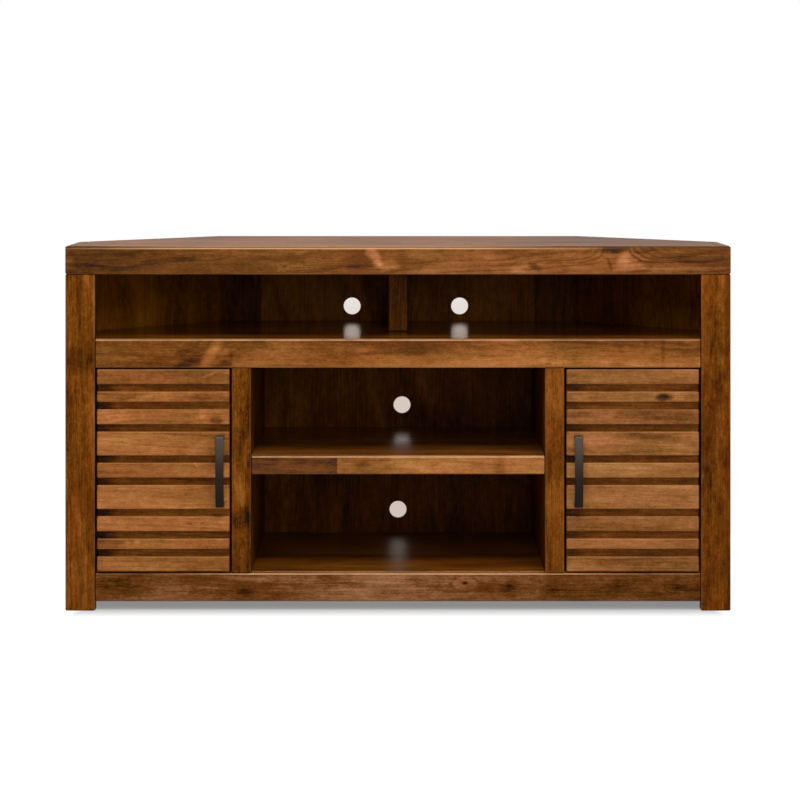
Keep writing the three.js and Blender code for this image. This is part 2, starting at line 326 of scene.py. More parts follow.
# Knots: their rings, ragged outline, dark heart and faint halo, as shares of their radius
KNOT_JITTER = 6 * MM
KNOT_DEPTH_SHARE = 0.15
KNOT_CROWDING = 2.2
KNOT_BLEND = 12 * MM
KNOT_HEART = (0.4, 1.5)
KNOT_HALO = (1.0, 5.0)
KNOT_HALO_SHARE = 0.2
KNOT_TONE = 0.5

# Patches reach through the board and fade at shares of their half sizes; staves and painted highlight lines
PATCH_DEPTH = 1.0
PATCH_JITTER = 1.4
PATCH_FADE = (0.25, 1.3)
STAVE_JOINT = 1 * MM
HIGHLIGHT_LINE_FADE_ALONG_SHARE = 0.2
HIGHLIGHT_LINE_FADE_ACROSS_SHARE = 0.3

# Lines of a flare: their unevenness, each one's rise and end as shares of the spacing, and their fading
FLARE_JITTER = 7 * MM
FLARE_WAVER = 0.5
FLARE_RISE = (0.35, 0.85)
FLARE_END = 0.88
FLARE_FIRST = (0.7, 1.2)
FLARE_LAST = (1.5, 5.0)
FLARE_FAINTEST = 0.3
FLARE_CORE_SHARE = 0.3

# How square to an axis a surface faces, from a rounded arris to a flat side
SQUARE = (0.8, 0.95)
END_GRAIN_TONE = 0.2
# Which way an arris faces: down for painted shade or light, up for a darker lip and for painted highlight
FACING_UNDER = (-0.6, -0.2)
FACING_LIP = (0.1, 0.5)
FACING_ABOVE = (0.1, 0.6)
# How pale an arris is when it faces down and when it faces up: wear, with a painted highlight added on those
# that face up
PALE_ARRIS_BELOW = 0.2
PALE_ARRIS_ABOVE = 0.85
PALE_ARRIS_JITTER = (0.3, 0.6)
PALE_ARRIS_LEAST = 0.6
JOINT_REACH = (2.6 * MM, 1 * MM)
JOINT_TONE = 0.4

# Lacquer
STREAK_ROUGHNESS = 0.16
DULLED_REACH = (40 * MM, 300 * MM)
FIBRE_HEIGHT = 0.5
PORE_HEIGHT = -0.6
GRAIN_BUMP = 0.2
GRAIN_DEPTH = 0.12 * MM


def pith_of(seed):
    """Where the tree's middle runs past a board: across, through, and how much it leans."""
    draw = random.Random(seed)
    across = draw.uniform(-PITH_ACROSS, PITH_ACROSS)
    through = draw.choice((-1, 1)) * draw.uniform(*PITH_THROUGH)
    lean = draw.choice((-1, 1)) * draw.uniform(*PITH_LEAN)
    return across, through, lean


def add_grain(g, place, grain):
    return g.noise(place, (grain.along, grain.across, grain.across), grain.detail, grain.distortion)


def add_patch(g, place, patch, depth, jitter):
    centred = g.vector("SUBTRACT", place, (patch.along, patch.across, depth))
    turned = g.add("VectorRotate", centred, (0.0, 0.0, 0.0), (0.0, 0.0, 1.0), math.radians(-patch.turn))
    shaped = g.vector("MULTIPLY", turned, (2 / patch.length, 2 / patch.width, 2 / PATCH_DEPTH))
    distance = g.vector("LENGTH", shaped, output="Value")
    distance = g.math("ADD", distance, g.swing(jitter, PATCH_JITTER))
    return g.span(distance, *PATCH_FADE, patch.tone, 0.0)


def add_flare(g, along, across, flare, jitter):
    """Lines where (distance aside) times (height above the level) is constant, fainter before the knot."""
    past_middle = g.math("SUBTRACT", along, flare.along)
    off_middle = g.math("ABSOLUTE", past_middle)
    aside = g.math("SUBTRACT", off_middle, flare.width / 2)
    above = g.math("SUBTRACT", across, flare.across)
    above = g.math("ADD", above, g.swing(jitter, FLARE_JITTER))
    product = g.math("MULTIPLY", g.math("MAXIMUM", aside, 0.0), g.math("MAXIMUM", above, 0.0))
    count = g.math("DIVIDE", g.math("SQRT", product), flare.spacing)
    phase = g.math("FRACT", g.math("ADD", count, g.swing(jitter, FLARE_WAVER)))
    line = g.math("MULTIPLY", g.span(phase, *FLARE_RISE), g.span(phase, FLARE_END, 1.0, 1.0, 0.0))
    shown = g.math("MULTIPLY", g.span(count, *FLARE_FIRST), g.span(count, *FLARE_LAST, 1.0, FLARE_FAINTEST))
    line = g.math("MULTIPLY", line, shown)
    line = g.math("MULTIPLY", line, g.span(past_middle, 0.0, flare.width / 2, flare.before, 1.0))
    core = flare.reach * FLARE_CORE_SHARE
    return g.math("MULTIPLY", line, g.span(off_middle, core, flare.reach, flare.dark, 0.0))


def add_highlight_line(g, along, across, highlight_line):
    off_middle = g.math("ABSOLUTE", g.math("SUBTRACT", along, highlight_line.along))
    lengthwise = g.span(off_middle, highlight_line.length * HIGHLIGHT_LINE_FADE_ALONG_SHARE, highlight_line.length / 2, highlight_line.strength, 0.0)
    off_line = g.math("ABSOLUTE", g.math("SUBTRACT", across, highlight_line.across))
    crosswise = g.span(off_line, highlight_line.width * HIGHLIGHT_LINE_FADE_ACROSS_SHARE, highlight_line.width / 2, 1.0, 0.0)
    return g.math("MULTIPLY", lengthwise, crosswise)


def add_stave(g, along, stave):
    after = g.span(along, stave.start - STAVE_JOINT, stave.start + STAVE_JOINT, 0.0, stave.tone)
    before = g.span(along, stave.end - STAVE_JOINT, stave.end + STAVE_JOINT, 1.0, 0.0)
    return g.math("MULTIPLY", after, before)


def alder(name, wood, middle, half, seed):
    """Knotty alder with satin lacquer for one board.
    middle and half are the board's middle and half sizes along, across and through it."""
    g = Graph(bpy.data.materials.new(name))
    axes = g.parts(g.add("TexCoord", output="Object"))
    along, across, through = (axes["xyz".index(axis)] for axis in wood.lie)
    place = g.add("CombineXYZ", along, across, through)
    moved = g.vector("ADD", place, [seed * step for step in SEED_STEP])

    wander = add_grain(g, moved, WANDER)
    pith_across, pith_through, lean = pith_of(seed)
    lean_line = g.math("MULTIPLY_ADD", along, -lean, lean * middle[0] - middle[1] - pith_across)
    from_pith = g.math("ADD", g.math("ADD", across, lean_line), g.swing(wander, GRAIN_WANDER))
    depth = g.math("SUBTRACT", through, middle[2] + pith_through)
    radius = g.math("SQRT", g.math("ADD", g.math("POWER", from_pith, 2.0), g.math("POWER", depth, 2.0)))

    # Knots push the rings aside and darken the wood
    jitter = add_grain(g, moved, JITTER)
    tone = wood.tone
    knot_shade = 0.0
    highlight_lines = 0.0
    pale_arris_share = 1.0
    for figure in wood.figures:
        if isinstance(figure, Knot):
            offset = g.vector("SUBTRACT", place, (figure.along, figure.across, middle[2]))
            shaped = g.vector("MULTIPLY", offset, (figure.stretch, 1.0, KNOT_DEPTH_SHARE))
            distance = g.vector("LENGTH", shaped, output="Value")
            distance = g.math("ADD", distance, g.swing(jitter, KNOT_JITTER))
            trunk = math.hypot(figure.across - middle[1] - pith_across - lean * (figure.along - middle[0]),
                               pith_through)
            branch = g.math("MULTIPLY_ADD", distance, KNOT_CROWDING, trunk - figure.swirl)
            radius = g.math("SMOOTH_MIN", radius, branch, KNOT_BLEND)
            heart, halo = ([figure.radius * share for share in shares] for shares in (KNOT_HEART, KNOT_HALO))
            heart = g.span(distance, *heart, figure.dark, 0.0)
            halo = g.span(distance, *halo, figure.dark * KNOT_HALO_SHARE, 0.0)
            knot_shade = g.math("MAXIMUM", knot_shade, g.math("MAXIMUM", heart, halo))
        elif isinstance(figure, Patch):
            tone = g.math("ADD", tone, add_patch(g, place, figure, middle[2], jitter))
        elif isinstance(figure, Flare):
            tone = g.math("SUBTRACT", tone, add_flare(g, along, across, figure, jitter))
        # Pale lines are painted highlights; below zero they hold back the pale arris
        elif isinstance(figure, HighlightLine) and figure.strength < 0:
            pale_arris_share = g.math("ADD", pale_arris_share, add_highlight_line(g, along, across, figure))
        elif isinstance(figure, HighlightLine):
            highlight_lines = g.math("MAXIMUM", highlight_lines, add_highlight_line(g, along, across, figure))
        else:
            tone = g.math("ADD", tone, add_stave(g, along, figure))

    # Growth rings: each has its own tone and ends in a thin dark line
    rings = g.math("DIVIDE", radius, RING_SPACING)
    rings = g.math("ADD", rings, g.math("MULTIPLY", add_grain(g, moved, RING_WAVER), RING_WAVER.swing))
    phase = g.math("FRACT", rings)
    rise = g.span(phase, LATE_WOOD_START, LATE_WOOD_END)
    late = g.math("MULTIPLY", rise, g.span(phase, LATE_WOOD_END, 1.0, 1.0, 0.0))
    each = g.add("TexWhiteNoise", (0.0, 0.0, 0.0), g.math("FLOOR", rings), noise_dimensions="1D")
    late = g.math("MULTIPLY", late, g.math("MULTIPLY_ADD", each, 1 - LATE_WOOD_FAINTEST, LATE_WOOD_FAINTEST))

    coarse = CLOUD, MOTTLE, STREAK, HAIRLINE, FLECK
    noises = [add_grain(g, moved, grain) for grain in coarse]
    fibre = add_grain(g, moved, FIBRE)
    pores = g.span(add_grain(g, moved, PORES), *PORE_SHARE)
    for noise, grain in zip(noises, coarse):
        tone = g.math("ADD", tone, g.swing(noise, grain.swing * wood.contrast))
    tone = g.math("ADD", tone, g.swing(fibre, FIBRE.swing))
    tone = g.math("SUBTRACT", tone, g.math("MULTIPLY", late, LATE_WOOD_TONE * wood.rings))
    tone = g.math("SUBTRACT", tone, g.math("MULTIPLY", pores, PORE_TONE))
    tone = g.math("SUBTRACT", tone, g.math("MULTIPLY", knot_shade, KNOT_TONE))

    # End grain drinks more stain
    facing = g.parts(g.add("TexCoord", output="Normal"))
    to_end = g.math("ABSOLUTE", facing["xyz".index(wood.lie[0])])
    tone = g.math("SUBTRACT", tone, g.span(to_end, *SQUARE, 0.0, END_GRAIN_TONE))

    # The sides of a frame board, in a gap or beside a bay, are darkened: painted shade
    to_middle = facing["xyz".index(wood.lie[1])]
    if middle[1] > 0:
        to_middle = g.math("MULTIPLY", to_middle, -1.0)
    leaning, square = SQUARE
    tone = g.math("SUBTRACT", tone, g.span(to_middle, leaning, square, 0.0, wood.inner_flank_shade))
    tone = g.math("SUBTRACT", tone, g.span(to_middle, -square, -leaning, wood.outer_flank, 0.0))

    # Arrises, where a square board's surface leans: dark with stain in joints; on the under side painted
    # shade, or painted light where a board asks for it; a darker band on the upper side where a board has a
    # lip; pale from wear, and paler on the upper side as a painted highlight
    straight = [g.math("ABSOLUTE", facing[i]) for i in range(3)]
    straight = g.math("MAXIMUM", g.math("MAXIMUM", straight[0], straight[1]), straight[2])
    slant = g.span(straight, leaning, square, 1.0, 0.0)
    from_middle = g.math("ABSOLUTE", g.math("SUBTRACT", along, middle[0]))
    joint = g.span(from_middle, *(half[0] - reach for reach in JOINT_REACH), 0.0, wood.jointed)
    under = g.span(facing[2], *FACING_UNDER, 1.0, 0.0)
    tone = g.math("ADD", tone, g.math("MULTIPLY", slant, g.math("MULTIPLY", under, wood.under_arris)))
    tone = g.math("SUBTRACT", tone, g.math("MULTIPLY", joint, JOINT_TONE))
    on_lip = g.span(facing[2], *FACING_LIP, 0.0, wood.lip)
    tone = g.math("SUBTRACT", tone, g.math("MULTIPLY", slant, on_lip))
    above = g.span(facing[2], *FACING_ABOVE, PALE_ARRIS_BELOW, PALE_ARRIS_ABOVE)
    pale_arris = g.math("MULTIPLY", slant, above)
    pale_arris = g.math("MULTIPLY", pale_arris, g.span(jitter, *PALE_ARRIS_JITTER, PALE_ARRIS_LEAST, 1.0))
    pale_arris = g.math("MULTIPLY", pale_arris, g.math("SUBTRACT", wood.arris, joint, clamp=True))
    pale_arris = g.math("MULTIPLY", pale_arris, pale_arris_share)
    pale_arris = g.math("MAXIMUM", pale_arris, highlight_lines)

    cast = g.mix(g.span(add_grain(g, moved, CAST), *CAST_SHARE), RED_CAST, OLIVE_CAST)
    colour = g.ramp(tone, [(share, linear(rgb, wood.tint)) for share, rgb in wood.stain])
    colour = g.vector("MULTIPLY", colour, cast)
    height = g.math("ADD", g.math("MULTIPLY", fibre, FIBRE_HEIGHT), g.math("MULTIPLY", pores, PORE_HEIGHT))
    rough = g.math("ADD", g.swing(noises[coarse.index(STREAK)], STREAK_ROUGHNESS), wood.roughness)
    # A shelf's lacquer is dulled towards its front by use
    front = middle[1] - half[1]
    dulled = g.span(across, *(front + reach for reach in DULLED_REACH), wood.dulled, 0.0)
    rough = g.math("ADD", rough, dulled)
    # Pale arrises and pale lines mixed into the colour: wear and painted highlight
    g.set(Base_Color=g.mix(pale_arris, colour, linear(PALE_ARRIS_WEAR_AND_HIGHLIGHT)), Roughness=rough)
    g.set(Normal=g.bump(height, GRAIN_BUMP, GRAIN_DEPTH))
    return g.set(Specular_IOR_Level=wood.gloss, Specular_Tint=wood.gloss_tint)


# Each board's looks. A front board's figures are at their place in x and z
FRONT_LIE = "xzy"
UPRIGHT_LIE = "zxy"
FLAT_LIE = "xyz"
SIDE_LIE = "zyx"
END_LIE = "yzx"
# Inside boards are tinted darker and more olive than the stain outside: partly their own colour, partly
# painted shade
INSIDE_SHADE_TINT = (0.82, 0.76, 0.15)
SHELF_SHADE_TINT = (0.84, 0.76, 0.34)
INSIDE_GLOSS_TINT = (1.0, 0.88, 0.82, 1.0)
DOOR_TINTS = {"left": (1.0, 0.98, 0.96), "right": (0.95, 1.0, 1.16)}
FRAME_ROUND = 1.0 * MM


def frame_rail(tone, figures, jointed=1.0, **looks):
    return Wood(FRONT_LIE, tone, figures=figures, jointed=jointed, round=FRAME_ROUND, **looks)


def frame_upright(tone, figures=(), jointed=0.6, **looks):
    # Uprights' sides towards the middle are darkened: painted shade
    looks = {"gloss": 0.05, "contrast": 1.1, "arris": 0.5, "inner_flank_shade": 0.3, **looks}
    return Wood(UPRIGHT_LIE, tone, figures=figures, jointed=jointed, round=FRAME_ROUND,
                stain=UPRIGHT_STAIN, **looks)


def inside(lie, tone, **looks):
    looks = {"gloss": 0.04, "gloss_tint": INSIDE_GLOSS_TINT, "tint": INSIDE_SHADE_TINT, **looks}
    return Wood(lie, tone, contrast=0.9, **looks)


def shelf(tone, **looks):
    return inside(FLAT_LIE, tone, tint=SHELF_SHADE_TINT, **looks)


# The door backing between the slats has a lower tone and an olive tint: partly its own stain, partly painted
# shade
def door_backing(*figures):
    return Wood(FRONT_LIE, tone=0.42, tint=(1.0, 0.94, 0.6), arris=0.0, gloss=0.06, figures=figures)


BOARDS = {
    # The top rail's under arris is lightened: painted light
    "top_front_rail": frame_rail(0.48, jointed=0.0, rings=1.2, arris=0.1, lip=0.6, under_arris=0.2,
                                 tint=(0.99, 1.02, 1.45), contrast=0.85, gloss=0.11, figures=(
        # The two pale lines along the top arris are painted highlights
        HighlightLine(-0.15, 0.7743, 1.36, 0.004, 0.8),
        HighlightLine(-0.15, 0.7787, 1.2, 0.004, 0.5),
        Patch(-0.66, 0.749, 0.7, 0.4, -0.2),
        Patch(-0.705, 0.743, 0.03, 0.03, 0.18),
        Patch(-0.66, 0.741, 0.08, 0.02, 0.05),
        Patch(-0.61, 0.75, 0.2, 0.03, -0.05),
        Patch(-0.53, 0.747, 0.12, 0.022, 0.12),
        Patch(0.3, 0.749, 0.6, 0.4, 0.1),
        Patch(0.68, 0.749, 0.16, 0.3, -0.08),
        Patch(-0.2, 0.765, 0.16, 0.02, 0.12, 2),
        Knot(-0.2415, 0.737, 3 * MM, 0.45),
        Patch(-0.2415, 0.73, 0.03, 0.03, 0.12),
        Patch(-0.085, 0.75, 0.06, 0.06, -0.12, -50),
        Patch(-0.051, 0.758, 0.06, 0.026, 0.36, -58),
        Patch(-0.026, 0.74, 0.06, 0.028, 0.3),
        Patch(0.19, 0.757, 0.08, 0.02, 0.12),
        Patch(0.252, 0.731, 0.06, 0.018, 0.24),
        Patch(0.294, 0.734, 0.03, 0.016, -0.3, -25),
        Flare(0.467, 0.741, 0.04, 0.34, 0.28),
        Patch(0.462, 0.772, 0.07, 0.02, -0.42),
        Patch(0.482, 0.754, 0.05, 0.026, 0.3, 50),
        Patch(0.49, 0.736, 0.08, 0.022, 0.26),
        Patch(0.452, 0.742, 0.01, 0.034, -0.2, 20),
        Patch(0.57, 0.762, 0.16, 0.024, -0.16, -8),
        Patch(0.62, 0.731, 0.24, 0.014, 0.2),
    )),
    # The mid rail's under arris is lightened a little: painted light
    "mid_rail": frame_rail(0.53, gloss=0.1, under_arris=0.1, figures=(
        HighlightLine(0.55, 0.578, 0.75, 0.02, -0.5),
        Patch(0.26, 0.522, 1.3, 0.05, 0.18),
        Patch(0.2, 0.58, 1.5, 0.05, -0.18),
        Patch(-0.6, 0.55, 0.3, 0.03, 0.04),
        Patch(-0.58, 0.52, 0.4, 0.03, -0.14),
        Patch(-0.58, 0.549, 0.5, 0.4, -0.12),
        Patch(0.2, 0.549, 0.4, 0.4, 0.1),
        Patch(-0.15, 0.549, 0.4, 0.4, -0.05),
        Patch(0.55, 0.549, 0.3, 0.4, -0.04),
        Patch(-0.455, 0.553, 0.06, 0.02, -0.12, 20),
        Patch(-0.45, 0.528, 0.09, 0.022, -0.18, 25),
        Patch(-0.4, 0.549, 0.09, 0.026, 0.3, 57),
        Patch(-0.375, 0.556, 0.06, 0.022, 0.16),
        Patch(-0.372, 0.528, 0.04, 0.018, -0.3, 10),
        Patch(-0.357, 0.54, 0.012, 0.05, -0.14),
        Patch(0.197, 0.544, 0.05, 0.006, -0.16, -3),
        Patch(0.24, 0.567, 0.04, 0.01, -0.12),
        Knot(0.3214, 0.529, 2.5 * MM, 0.5),
        Stave(0.563, 0.57, -0.12),
        Patch(0.6, 0.555, 0.08, 0.04, -0.08),
    )),
    "base_rail": frame_rail(0.4, stain=BASE_STAIN, contrast=0.95, gloss=0.05, figures=(
        HighlightLine(-0.62, 0.079, 0.66, 0.02, -0.85),
        HighlightLine(0.62, 0.079, 0.66, 0.02, -0.75),
        Patch(0.03, 0.05, 0.8, 0.4, 0.1),
        Patch(0.57, 0.05, 0.4, 0.4, -0.07),
        Patch(-0.5, 0.08, 0.5, 0.04, -0.08),
        Patch(-0.5, 0.026, 0.5, 0.03, 0.1),
        Patch(-0.16, 0.075, 0.36, 0.03, 0.12),
        Patch(-0.6, 0.05, 0.14, 0.07, -0.16),
        Patch(-0.483, 0.052, 0.08, 0.04, 0.1),
        Knot(-0.327, 0.04, 9 * MM, 0.5, 0.6),
        Patch(-0.32, 0.068, 0.1, 0.012, 0.16, -6),
        Patch(-0.06, 0.062, 0.28, 0.006, 0.12, -2),
        Patch(-0.1, 0.045, 0.25, 0.005, 0.12, 1),
        Patch(0.143, 0.059, 0.06, 0.024, 0.14),
        Knot(0.143, 0.059, 3 * MM, 0.9, 0.6),
        Patch(0.24, 0.05, 0.05, 0.05, -0.14),
        Patch(0.33, 0.05, 0.04, 0.05, -0.16, 20),
        Patch(0.468, 0.05, 0.07, 0.05, -0.12),
        Knot(0.607, 0.051, 5 * MM, 0.4, 0.4),
    )),
    "centre_shelf_edge": frame_rail(0.74, (
        Stave(-0.33, -0.13, -0.42),
        Patch(-0.31, 0.31, 0.08, 0.2, -0.1),
        Patch(-0.24, 0.308, 0.3, 0.03, -0.08),
        Patch(-0.082, 0.31, 0.13, 0.2, -0.22),
        Patch(0.01, 0.31, 0.12, 0.2, -0.04),
        Patch(0.3, 0.31, 0.4, 0.2, 0.06),
        Patch(-0.077, 0.31, 0.03, 0.02, -0.14, 20),
        Patch(0.08, 0.314, 0.02, 0.01, -0.2),
        Patch(0.218, 0.31, 0.03, 0.2, -0.14),
    )),
    "left_post": frame_upright(0.43, figures=(
        Patch(0.533, -0.68, 0.06, 0.12, -0.16),
        Patch(0.64, -0.68, 0.16, 0.12, 0.06),
        Patch(0.46, -0.68, 0.06, 0.12, -0.1),
        Patch(0.04, -0.68, 0.16, 0.12, 0.14),
    )),
    "right_post": frame_upright(0.42, figures=(
        Patch(0.53, 0.68, 0.14, 0.2, -0.06),
        Patch(0.35, 0.65, 1.4, 0.03, 0.1),
        Patch(0.35, 0.71, 1.4, 0.03, -0.08),
        Patch(0.4, 0.68, 0.3, 0.2, -0.2),
        Patch(0.46, 0.69, 0.06, 0.03, -0.1),
    )),
    # The stiles' outer sides, in the door gaps, are darkened: painted shade
    "left_stile": frame_upright(0.4, contrast=1.3, outer_flank=0.3, figures=(
        Patch(0.262, -0.335, 0.05, 0.05, 0.2, 20),
        Patch(0.195, -0.335, 0.05, 0.06, -0.24, 35),
        Patch(0.32, -0.35, 0.8, 0.03, 0.12),
        Patch(0.32, -0.312, 0.8, 0.03, -0.16),
        Patch(0.2, -0.335, 0.4, 0.1, -0.1),
    )),
    "right_stile": frame_upright(0.45, outer_flank=0.3, figures=(
        Patch(0.46, 0.335, 0.16, 0.1, 0.1),
    )),
    "upper_divider": frame_upright(0.34),
    # The top panel's blue-heavy tint greys its stain towards the pale backdrop that it mirrors: painted
    # reflection
    "top_panel": Wood(FLAT_LIE, tone=0.48, contrast=1.2, tint=(0.94, 1.03, 2.1), gloss=0.28, roughness=0.5,
                      figures=(
        Patch(0.5, 0.0, 0.5, 0.8, -0.2),
    )),
    "top_left_rail": Wood(END_LIE, arris=0.1, lip=0.4),
    "top_right_rail": Wood(END_LIE, arris=0.0, lip=0.4),
    "left_side_panel": Wood(SIDE_LIE, tone=0.42, stain=UPRIGHT_STAIN),
    "right_side_panel": Wood(SIDE_LIE, tone=0.42, stain=UPRIGHT_STAIN),
    "left_rear_foot": Wood(UPRIGHT_LIE, tone=0.4, stain=UPRIGHT_STAIN),
    "right_rear_foot": Wood(UPRIGHT_LIE, tone=0.4, stain=UPRIGHT_STAIN),
    "left_hinge_block": inside(UPRIGHT_LIE, 0.4),
    "right_hinge_block": inside(UPRIGHT_LIE, 0.4),
    "left_partition": inside(SIDE_LIE, 0.3),
    "right_partition": inside(SIDE_LIE, 0.3),
    # The left diagonal panel's higher tone and the bright patch on each diagonal panel are painted light,
    # where side light reaches under the top rail
    "left_diagonal_panel": inside(UPRIGHT_LIE, 0.56, arris=0.0, figures=(
        Patch(0.6, -0.62, 0.09, 0.3, 0.16, -12),
    )),
    "right_diagonal_panel": inside(UPRIGHT_LIE, 0.4, arris=0.0, figures=(
        Patch(0.6, 0.62, 0.09, 0.26, 0.18, 12),
    )),
    # Its patches are painted shade and light: darker low down and at the middle bay's right, lighter high on
    # the left
    "back_panel_centre": inside(UPRIGHT_LIE, 0.52, arris=0.0, figures=(
        Patch(0.15, 0.05, 0.5, 0.9, -0.2),
        Patch(0.4, 0.2, 0.4, 0.4, -0.12),
        Patch(0.66, -0.2, 0.3, 0.3, 0.1),
    )),
    "back_panel_left": inside(UPRIGHT_LIE, 0.3, arris=0.0),
    "back_panel_right": inside(UPRIGHT_LIE, 0.3, arris=0.0),
    "base_panel": shelf(0.45, roughness=0.36, gloss=0.38),
    "upper_shelf": shelf(0.45, roughness=0.19, gloss=0.6),
    "centre_shelf": shelf(0.42, roughness=0.23, gloss=0.46, dulled=0.2),
    "left_cupboard_shelf": shelf(0.46, roughness=0.36),
    "right_cupboard_shelf": shelf(0.46, roughness=0.36),
    "left_door_panel": door_backing(
        # A dark strip at the hinge edge: painted shadow
        Patch(-0.64, 0.3, 0.08, 2.0, -0.34),
        Patch(-0.5, 0.22, 0.2, 0.08, 0.1),
        Patch(-0.5, 0.487, 0.3, 0.04, 0.12),
    ),
    "right_door_panel": door_backing(
        # A dark strip at the left edge: painted shadow
        Patch(0.362, 0.3, 0.07, 2.0, -0.24),
        Patch(0.53, 0.485, 0.3, 0.04, 0.2),
        Patch(0.53, 0.34, 0.3, 0.04, -0.2),
    ),
}

# Tones of the doors' slats from the top down, and what shows on some of them
SLAT_TONES = {
    "left": (0.51, 0.56, 0.69, 0.62, 0.68, 0.77, 0.77, 0.62, 0.61),
    "right": (0.63, 0.54, 0.52, 0.65, 0.72, 0.69, 0.59, 0.61, 0.6),
}
SLAT_FIGURES = {
    "left_door_slat_1": (
        Patch(-0.45, 0.507, 0.14, 0.04, -0.12),
        Patch(-0.4, 0.506, 0.05, 0.008, 0.2, 24),
        Patch(-0.36, 0.509, 0.03, 0.02, 0.12),
    ),
    "left_door_slat_2": (
        Patch(-0.545, 0.456, 0.06, 0.012, 0.26, 12),
        Patch(-0.5, 0.458, 0.05, 0.02, 0.14),
        Patch(-0.42, 0.456, 0.05, 0.03, -0.16),
    ),
    "left_door_slat_3": (
        Patch(-0.6, 0.415, 0.1, 0.02, 0.1),
        Patch(-0.42, 0.417, 0.05, 0.02, 0.14, 60),
        Patch(-0.387, 0.407, 0.032, 0.018, -0.36),
    ),
    "left_door_slat_5": (
        Patch(-0.47, 0.312, 0.09, 0.02, 0.1),
        Patch(-0.432, 0.312, 0.03, 0.006, 0.24, -60),
    ),
    "left_door_slat_7": (Patch(-0.446, 0.186, 0.012, 0.005, -0.3),),
    "left_door_slat_8": (
        Patch(-0.578, 0.146, 0.016, 0.012, 0.22),
        Patch(-0.558, 0.147, 0.014, 0.016, 0.2, 60),
    ),
    "right_door_slat_2": (
        Patch(0.57, 0.458, 0.036, 0.019, -0.58),
        Patch(0.598, 0.455, 0.03, 0.02, 0.12),
    ),
    "right_door_slat_3": (
        Patch(0.44, 0.42, 0.1, 0.012, 0.16, -6),
        Patch(0.6, 0.415, 0.1, 0.03, -0.08),
    ),
    "right_door_slat_4": (Patch(0.57, 0.375, 0.1, 0.014, -0.14, 6),),
    "right_door_slat_9": (
        Patch(0.53, 0.1, 0.6, 0.2, 0.02),
        Patch(0.386, 0.1, 0.05, 0.016, 0.12),
        Patch(0.46, 0.102, 0.09, 0.02, -0.1),
    ),
}


def slat_wood(name):
    hand, number = name.split("_")[0], int(name.split("_")[-1])
    return Wood(FRONT_LIE, SLAT_TONES[hand][number - 1], contrast=1.05, arris=0.3, jointed=0.5,
                figures=SLAT_FIGURES.get(name, ()), tint=DOOR_TINTS[hand])


WELD_DISTANCE = 0.01 * MM
BEVEL_STEPS = 2
BEVEL_ANGLE = 25
FLAT_FACE_WEIGHT = 100
HANDLE_ROUND = 0.35 * MM
HINGE_ROUND = 0.25 * MM


def smooth_group():
    """Geometry nodes that weld the imported triangles and shade them smooth."""
    group = bpy.data.node_groups.new("weld_and_smooth", "GeometryNodeTree")
    group.interface.new_socket("Geometry", in_out="INPUT", socket_type="NodeSocketGeometry")
    group.interface.new_socket("Geometry", in_out="OUTPUT", socket_type="NodeSocketGeometry")
    entry = group.nodes.new("NodeGroupInput")
    weld = group.nodes.new("GeometryNodeMergeByDistance")
    weld.inputs["Distance"].default_value = WELD_DISTANCE
    edges = group.nodes.new("GeometryNodeSetShadeSmooth")
    edges.domain = "EDGE"
    faces = group.nodes.new("GeometryNodeSetShadeSmooth")
    faces.domain = "FACE"
    leave = group.nodes.new("NodeGroupOutput")
    chain = [entry, weld, edges, faces, leave]
    for one, other in zip(chain, chain[1:]):
        group.links.new(one.outputs[0], other.inputs[0])
    return group


def soften(piece, group, width):
    """Rounds a CAD node's edges a little and keeps its flat faces flat."""
    weld = piece.modifiers.new("weld_and_smooth", "NODES")
    weld.node_group = group
    bevel = piece.modifiers.new("round", "BEVEL")
    bevel.width = width
    bevel.segments = BEVEL_STEPS
    bevel.limit_method = "ANGLE"
    bevel.angle_limit = math.radians(BEVEL_ANGLE)
    normals = piece.modifiers.new("flat_faces", "WEIGHTED_NORMAL")
    normals.weight = FLAT_FACE_WEIGHT


def dress(piece, material):
    piece.data.materials.clear()
    piece.data.materials.append(material)


# Metals: brushing, in cycles per metre along x, y and z, blotches, and colours from dark to pale by share
BRONZE_BRUSHING = (900.0, 900.0, 40.0)
BRONZE_BLOTCHES = (60.0, 60.0, 30.0)
BRONZE_BLOTCH_SWING = 0.3
# Bronze from the handle's foot to its top: the paler top is painted sheen
BRONZE_SHEEN_BY_HEIGHT = (
    (0.0, (24, 15, 7)),
    (0.35, (36, 26, 17)),
    (0.7, (53, 43, 34)),
    (1.0, (74, 64, 57)),
)
BRONZE_ROUGHNESS = 0.45
BRONZE_ROUGHNESS_SWING = 0.16
BRONZE_BUMP = 0.15
BRONZE_DEPTH = 0.05 * MM
BRONZE_METALLIC = 0.35
BRONZE_SPECULAR = 0.2
STEEL_BRUSHING = (260.0, 260.0, 2200.0)
STEEL_BLOTCHES = (120.0, 120.0, 90.0)
STEEL = (
    (0.3, (176, 174, 168)),
    (0.7, (206, 204, 198)),
)
STEEL_ROUGHNESS = 0.28
STEEL_ROUGHNESS_SWING = 0.2
METAL_DETAIL = 3.0


